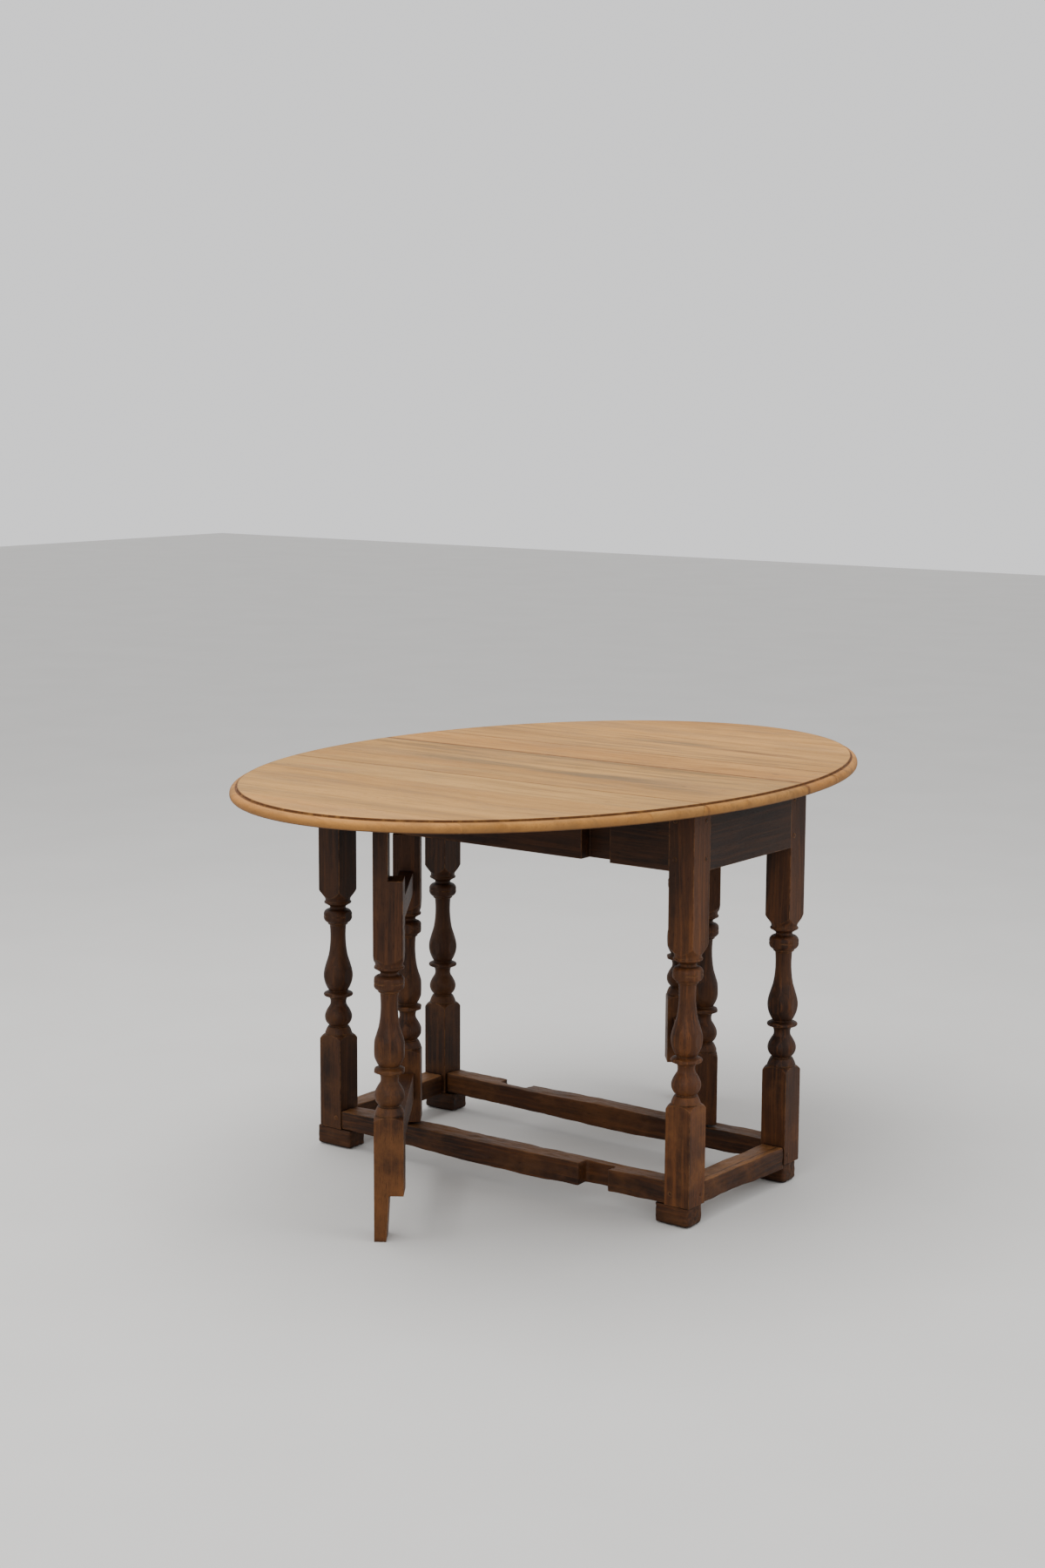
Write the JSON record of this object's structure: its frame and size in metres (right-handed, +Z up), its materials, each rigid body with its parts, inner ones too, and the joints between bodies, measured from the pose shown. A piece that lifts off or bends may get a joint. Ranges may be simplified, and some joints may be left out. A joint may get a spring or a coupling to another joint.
{
  "type": "gateleg table",
  "caption": "Oval gateleg table with a moulded rule-jointed top, turned legs, stretchers and a swinging gate under each leaf.",
  "frame": {"origin": "on the floor, under the middle of the table", "axes": "+Z up; +Y along the leaves, the oval's long axis; +X along the long rails"},
  "size_m": [0.932, 1.34, 0.72],
  "materials": {
    "top_oak": "stripped pale oak, matt",
    "base_oak": "dark stained oak, worn and waxed",
    "peg_oak": "dark stained oak, end grain",
    "block_pine": "old unfinished pine",
    "hinge_iron": "dark forged iron",
    "screw_steel": "tarnished steel"
  },
  "bodies": {
    "frame": {"far_apron": "base_oak", "far_centre_board": "top_oak", "far_fixed_flap_screws": "screw_steel", "far_hinge_pins": "hinge_iron", "far_left_fixed_flap": "hinge_iron", "far_left_foot": "base_oak", "far_left_leg": "base_oak", "far_middle_fixed_flap": "hinge_iron", "far_right_fixed_flap": "hinge_iron", "far_right_foot": "base_oak", "far_right_leg": "base_oak", "far_stretcher": "base_oak", "foot_dowels": "peg_oak", "frame_pegs": "peg_oak", "glue_blocks": "block_pine", "left_end_apron": "base_oak", "left_end_stretcher": "base_oak", "near_apron": "base_oak", "near_centre_board": "top_oak", "near_fixed_flap_screws": "screw_steel", "near_hinge_pins": "hinge_iron", "near_left_fixed_flap": "hinge_iron", "near_left_foot": "base_oak", "near_left_leg": "base_oak", "near_middle_fixed_flap": "hinge_iron", "near_right_fixed_flap": "hinge_iron", "near_right_foot": "base_oak", "near_right_leg": "base_oak", "near_stretcher": "base_oak", "right_end_apron": "base_oak", "right_end_stretcher": "base_oak"},
    "near_gate": {"near_gate_leg": "base_oak", "near_gate_lower_rail": "base_oak", "near_gate_pegs": "peg_oak", "near_gate_upper_rail": "base_oak", "near_pivot_post": "base_oak"},
    "far_gate": {"far_gate_leg": "base_oak", "far_gate_lower_rail": "base_oak", "far_gate_pegs": "peg_oak", "far_gate_upper_rail": "base_oak", "far_pivot_post": "base_oak"},
    "near_leaf": {"near_leaf_flap_screws": "screw_steel", "near_leaf_inner_board": "top_oak", "near_leaf_middle_board": "top_oak", "near_leaf_outer_board": "top_oak", "near_left_leaf_flap": "hinge_iron", "near_middle_leaf_flap": "hinge_iron", "near_right_leaf_flap": "hinge_iron"},
    "far_leaf": {"far_leaf_flap_screws": "screw_steel", "far_leaf_inner_board": "top_oak", "far_leaf_outer_board": "top_oak", "far_left_leaf_flap": "hinge_iron", "far_middle_leaf_flap": "hinge_iron", "far_right_leaf_flap": "hinge_iron"}
  },
  "joints": [
    {"name": "near_gate_swing", "type": "hinge", "parent": "frame", "child": "near_gate", "pos_m": [-0.214, -0.1525, 0.3], "axis": [0, 0, -1], "range_deg": [-54.8, 28]},
    {"name": "far_gate_swing", "type": "hinge", "parent": "frame", "child": "far_gate", "pos_m": [0.214, 0.1525, 0.3], "axis": [0, 0, -1], "range_deg": [-51.2, 31]},
    {"name": "near_leaf_hinge", "type": "hinge", "parent": "frame", "child": "near_leaf", "pos_m": [0, -0.202, 0.703], "axis": [-1, 0, 0], "range_deg": [0, 2.5]},
    {"name": "far_leaf_hinge", "type": "hinge", "parent": "frame", "child": "far_leaf", "pos_m": [0, 0.202, 0.703], "axis": [1, 0, 0], "range_deg": [0, 2.5]}
  ]
}
